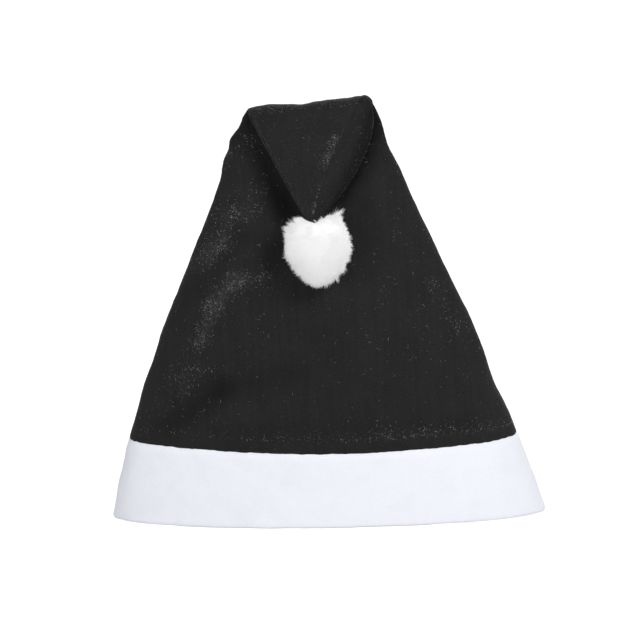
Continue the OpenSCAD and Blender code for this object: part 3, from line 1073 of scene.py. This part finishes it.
def grain_texture(kind, share, **settings):
    """A texture in the group whose scale is a share of the fibre size."""
    node = add(grain_group, kind, **settings)
    links.new(grain_in.outputs["Vector"], node.inputs["Vector"])
    scale = fibre_size if share == 1 else math_node(grain_group, "MULTIPLY", fibre_size, share)
    links.new(scale, node.inputs["Scale"])
    return node


fine = grain_texture("ShaderNodeTexNoise", 1, Detail=6.0, Roughness=0.7, Distortion=0.6)
tangle = grain_texture("ShaderNodeTexNoise", 0.45, Detail=4.0, Roughness=0.6, Distortion=2.2)
clouds = grain_texture("ShaderNodeTexNoise", 0.05, Detail=3.0, Roughness=0.55)
speck = grain_texture("ShaderNodeTexVoronoi", 0.33, Randomness=1.0)
dots = ramp(grain_group, speck.outputs["Distance"], 0.16, 0.05)
few = ramp(grain_group, clouds.outputs["Fac"], 0.5, 0.62)
results = {
    "Grain": ramp(grain_group, fine.outputs["Fac"], 0.3, 0.7),
    "Flecks": math_node(grain_group, "MULTIPLY", dots, few),
    "Height": math_node(grain_group, "ADD", fine.outputs["Fac"], tangle.outputs["Fac"]),
    "Clouds": ramp(grain_group, clouds.outputs["Fac"], 0.3, 0.7),
}
for label, result in results.items():
    links.new(result, grain_out.inputs[label])
print("group:", grain_group.name)

# %% [markdown]
# ## Materials
#
# The black felt is a very dark, nearly neutral grey, never pure black, with a faint sheen because its fibres
# stand up at grazing angles. Where the mesh says that the nap is rubbed it turns paler and flecked. Along
# the top edge of the fold, that paler nap is a painted highlight. Where the mesh marks painted shade, beside
# and under the tip, along the band and in the hollows, its colour is darker. It has faint streaks along the
# cloth from the rollers that pressed it. The white felt is slightly blue, as bleached polyester is. The plush
# is painted greyer at the roots of its fibres than at their ends, as painted shade deep in the pile. Both
# whites also give off a faint, even glow of their own. This is painted light that brightens them and evens
# out their shading, and it does not depend on the lamps.

# %% Material helpers
def new_material(name, roughness, sheen, sheen_roughness=0.5, tint=(1, 1, 1, 1)):
    material = bpy.data.materials.new(name)
    material.use_nodes = True
    tree = material.node_tree
    shader = tree.nodes["Principled BSDF"]
    settings = {"Roughness": roughness, "Sheen Weight": sheen, "Sheen Roughness": sheen_roughness,
                "Sheen Tint": tint, "Specular IOR Level": 0.2}
    for label, value in settings.items():
        shader.inputs[label].default_value = value
    return material, tree, shader


def mixed_colour(tree, mask, colour_a, colour_b):
    """A colour between two: each is a colour or a socket."""
    node = tree.nodes.new("ShaderNodeMix")
    node.data_type = "RGBA"
    tree.links.new(mask, node.inputs["Factor"])
    colour_inputs = [i for i in node.inputs if i.type == "RGBA"]
    for socket, value in zip(colour_inputs, (colour_a, colour_b)):
        if isinstance(value, tuple):
            socket.default_value = (*value, 1)
        else:
            tree.links.new(value, socket)
    return next(o for o in node.outputs if o.type == "RGBA")


def grain_of(tree, vector, fibre_size):
    node = tree.nodes.new("ShaderNodeGroup")
    node.node_tree = grain_group
    node.inputs["Fibre Size"].default_value = fibre_size
    tree.links.new(vector, node.inputs["Vector"])
    return node


def raise_bump(tree, shader, height, strength, distance):
    bump = add(tree, "ShaderNodeBump", Strength=strength, Distance=distance)
    tree.links.new(height, bump.inputs["Height"])
    tree.links.new(bump.outputs["Normal"], shader.inputs["Normal"])


def glows(shader, colour, strength):
    """Gives a surface a faint light of its own."""
    shader.inputs["Emission Color"].default_value = colour
    shader.inputs["Emission Strength"].default_value = strength


def attribute_of(tree, name):
    return add(tree, "ShaderNodeAttribute", attribute_name=name).outputs["Fac"]


# %% Black felt
black_felt, tree, shader = new_material("black_felt_nap", 0.92, 0.13, 0.45, (0.75, 0.75, 0.78, 1))
uv = tree.nodes.new("ShaderNodeUVMap").outputs["UV"]
grain = grain_of(tree, uv, 1000.0)
streak_map = add(tree, "ShaderNodeMapping", Scale=(320.0, 14.0, 1.0))
tree.links.new(uv, streak_map.inputs["Vector"])
streaks = add(tree, "ShaderNodeTexNoise", Scale=1.0, Detail=2.0)
tree.links.new(streak_map.outputs["Vector"], streaks.inputs["Vector"])
# Rubbed nap turns paler. Along the top edge of the fold, this paler nap is a painted highlight.
wear_and_highlight_nap = math_node(tree, "MULTIPLY", attribute_of(tree, "rubbed"), grain.outputs["Grain"])
base = mixed_colour(tree, grain.outputs["Grain"], (0.0095, 0.0095, 0.0098), (0.0165, 0.0165, 0.0168))
layers = [
    (ramp(tree, streaks.outputs["Fac"], 0.35, 0.75, 0.0, 0.35), (0.022, 0.022, 0.0224)),
    (ramp(tree, grain.outputs["Clouds"], 0.2, 0.9, 0.0, 0.35), (0.0185, 0.0185, 0.019)),
    (ramp(tree, wear_and_highlight_nap, 0.1, 0.9, 0.0, 0.6), (0.046, 0.046, 0.047)),
    (math_node(tree, "MULTIPLY", grain.outputs["Flecks"], 0.55), (0.10, 0.10, 0.102)),
    # Painted shade: near-black colour where the mesh marks shade beside and under the tip, along the band and
    # in the hollows.
    (attribute_of(tree, "painted_shade"), (0.0022, 0.0022, 0.0023)),
]
for mask, colour in layers:
    base = mixed_colour(tree, mask, base, colour)
tree.links.new(base, shader.inputs["Base Color"])
tree.links.new(ramp(tree, grain.outputs["Grain"], 0.0, 1.0, 0.98, 0.84), shader.inputs["Roughness"])
raise_bump(tree, shader, grain.outputs["Height"], 0.55, 0.0004)

# %% Fuzz of the black felt
felt_fuzz, tree, shader = new_material("black_felt_fuzz", 0.85, 0.25, 0.4, (0.8, 0.8, 0.82, 1))
pale = math_node(tree, "POWER", attribute_of(tree, "paleness"), 2.0)
tree.links.new(mixed_colour(tree, pale, (0.02, 0.02, 0.02), (0.62, 0.62, 0.63)), shader.inputs["Base Color"])

# %% White felt
white_felt, tree, shader = new_material("white_felt_nap", 0.9, 0.15, 0.5)
uv = tree.nodes.new("ShaderNodeUVMap").outputs["UV"]
grain = grain_of(tree, uv, 900.0)
base = mixed_colour(tree, grain.outputs["Grain"], (0.78, 0.79, 0.85), (0.83, 0.84, 0.90))
base = mixed_colour(tree, ramp(tree, grain.outputs["Clouds"], 0.55, 1.0, 0.0, 0.5), base, (0.77, 0.78, 0.84))
tree.links.new(base, shader.inputs["Base Color"])
tree.links.new(ramp(tree, grain.outputs["Grain"], 0.0, 1.0, 0.95, 0.82), shader.inputs["Roughness"])
raise_bump(tree, shader, grain.outputs["Height"], 0.3, 0.0003)
# Painted light: a faint, even glow that brightens the white felt whatever the lamps do.
felt_painted_glow = 0.12
glows(shader, (0.90, 0.91, 1.0, 1), felt_painted_glow)

# %% White plush
white_plush, tree, shader = new_material("white_plush_pile", 0.8, 0.3, 0.5)
# Painted shade: the pile and the body under it are greyer at the fibres' roots, deep among them, and whiter
# towards the ends.
painted_root_shade = ramp(tree, attribute_of(tree, "along_fibre"), 0.0, 0.5)
place = tree.nodes.new("ShaderNodeTexCoord").outputs["Object"]
tone = add(tree, "ShaderNodeTexNoise", Scale=160.0, Detail=2.0)
tree.links.new(place, tone.inputs["Vector"])
ends = mixed_colour(tree, ramp(tree, tone.outputs["Fac"], 0.3, 0.7), (0.93, 0.93, 0.927), (0.96, 0.96, 0.96))
tree.links.new(mixed_colour(tree, painted_root_shade, (0.91, 0.91, 0.91), ends), shader.inputs["Base Color"])
# Painted light: a faint, even glow that brightens the plush and smooths its shading.
plush_painted_glow = 0.17
glows(shader, (1, 1, 1, 1), plush_painted_glow)
print("materials:", [m.name for m in bpy.data.materials])

# %% [markdown]
# ## Thread and filling
#
# Sewing thread is two plies twisted round each other, which shows as fine slanting bands. On a thread
# under a millimetre thick, a wave texture with slanting bands is enough. The filling inside the
# pompom is loose polyester wadding: the same grain as felt at a larger size.

# %% Thread and filling
def thread_material(name, dark, light):
    material, tree, shader = new_material(name, 0.6, 0.2)
    place = tree.nodes.new("ShaderNodeTexCoord").outputs["Object"]
    twist = add(tree, "ShaderNodeTexWave", Scale=420.0, Distortion=1.2, Detail=1.0)
    twist.bands_direction = "DIAGONAL"
    tree.links.new(place, twist.inputs["Vector"])
    tree.links.new(mixed_colour(tree, twist.outputs["Fac"], dark, light), shader.inputs["Base Color"])
    raise_bump(tree, shader, twist.outputs["Fac"], 0.5, 0.0002)
    return material


black_thread = thread_material("black_thread_twist", (0.008, 0.008, 0.008), (0.022, 0.022, 0.022))
white_thread = thread_material("white_thread_twist", (0.62, 0.62, 0.63), (0.82, 0.82, 0.83))
fibre_fill, tree, shader = new_material("fibre_wadding", 0.95, 0.3)
place = tree.nodes.new("ShaderNodeTexCoord").outputs["Object"]
grain = grain_of(tree, place, 500.0)
wadding = mixed_colour(tree, grain.outputs["Grain"], (0.7, 0.7, 0.7), (0.9, 0.9, 0.9))
tree.links.new(wadding, shader.inputs["Base Color"])
raise_bump(tree, shader, grain.outputs["Height"], 0.6, 0.0006)


def dress(piece, material):
    piece.data.materials.clear()
    piece.data.materials.append(material)


finishes = {"black_thread": black_thread, "white_thread": white_thread, "fibre_fill": fibre_fill,
            "black_felt": black_felt, "white_felt": white_felt, "white_plush": white_plush}
slot_of = {"pompom_core": "fibre_fill", "pompom_cover": "white_plush", "band": "white_felt",
           "band_seam_thread": "white_thread", "band_join_thread": "white_thread",
           "pompom_tack_thread": "white_thread", "pompom_gather_thread": "white_thread"}
for name, node in nodes.items():
    slot = slot_of.get(name, "black_thread" if "thread" in name else "black_felt")
    dress(node, finishes[slot])
for piece in (felt_back, felt_front, felt_tip_front):
    dress(piece, black_felt)
for piece in (crown_fuzz, tip_fuzz, fold_fuzz):
    dress(piece, felt_fuzz)
dress(felt_band, white_felt)
dress(pompom, white_plush)
print("dressed", len(nodes), "nodes")

# %% [markdown]
# ## Joining the pieces to the moving bodies
# The tip is one body of the model, the crown another and the pompom a third. The back panel and the front
# panel cross the hinge at the fold. Here they and the fuzz on the fold only get their placement baked into
# their points, and they are joined to no body. Everything else rides on a single body. The zone's direction
# leans between the slope of the crown and that of the tip,
# which is the one direction that tells the two apart. Everything else rides on a single body.


def bend_at_fold(piece):
    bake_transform(piece)


bend_at_fold(felt_back)
bend_at_fold(fold_fuzz)
bend_at_fold(felt_front)
for piece, body in ((felt_tip_front, "tip"), (tip_fuzz, "tip"), (felt_band, "crown"), (crown_fuzz, "crown"),
                    (pompom, "pompom")):
    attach(piece, body)

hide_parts("crown_back", "tip_over")
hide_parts("crown_front")
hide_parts("tip_under")
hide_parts("band")
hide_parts("pompom_cover")

# %% [markdown]
# ## Floor and light
#
# A pale floor and large soft lamps stand in for a studio. The main lamp is above and to the right, so the
# tip throws a soft shadow to its left. A larger and softer one, not much weaker, fills in from the left, and
# a third stands behind. The floor and the sky look white to the camera but light the hat less than that, so
# the black felt keeps its depth.

# %% Floor
bpy.ops.object.select_all(action="DESELECT")
bpy.ops.mesh.primitive_plane_add(size=24, location=(0, 0, 0))
floor = bpy.context.object
floor.name = "floor"
floor_material = bpy.data.materials.new("pale_floor")
floor_material.use_nodes = True
tree = floor_material.node_tree
tree.nodes.clear()
matt = add(tree, "ShaderNodeBsdfDiffuse", Color=(0.6, 0.6, 0.6, 1))
shown = add(tree, "ShaderNodeBsdfDiffuse", Color=(0.35, 0.35, 0.35, 1))
glow = add(tree, "ShaderNodeEmission", Color=(1, 1, 1, 1), Strength=0.92)
both = tree.nodes.new("ShaderNodeAddShader")
tree.links.new(shown.outputs[0], both.inputs[0])
tree.links.new(glow.outputs[0], both.inputs[1])
seen = tree.nodes.new("ShaderNodeLightPath").outputs["Is Camera Ray"]
choose = tree.nodes.new("ShaderNodeMixShader")
tree.links.new(seen, choose.inputs["Fac"])
tree.links.new(matt.outputs[0], choose.inputs[1])
tree.links.new(both.outputs[0], choose.inputs[2])
surface = tree.nodes.new("ShaderNodeOutputMaterial")
tree.links.new(choose.outputs[0], surface.inputs["Surface"])
dress(floor, floor_material)
floor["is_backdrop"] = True

# %% Light
scene = bpy.context.scene
scene.view_settings.view_transform = "Standard"
world = bpy.data.worlds.new("studio")
scene.world = world
world.use_nodes = True
tree = world.node_tree
sky = tree.nodes["Background"]
sky.inputs["Color"].default_value = (1, 1, 1, 1)
seen = tree.nodes.new("ShaderNodeLightPath").outputs["Is Camera Ray"]
sky_light = 0.35
strength = math_node(tree, "ADD", math_node(tree, "MULTIPLY", seen, 1.0 - sky_light), sky_light)
tree.links.new(strength, sky.inputs["Strength"])
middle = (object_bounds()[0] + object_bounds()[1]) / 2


def softbox(name, place, size, power):
    lamp = bpy.data.lights.new(name, "AREA")
    lamp.size = size
    lamp.energy = power
    piece = bpy.data.objects.new(name, lamp)
    scene.collection.objects.link(piece)
    piece.location = place
    piece.rotation_euler = (middle - piece.location).to_track_quat("-Z", "Y").to_euler()


softbox("key", (1.05, -1.3, 1.3), 0.75, 22)
softbox("fill", (-1.5, -1.8, 0.7), 1.2, 16)
softbox("back", (0.3, 1.3, 1.6), 1.2, 12)
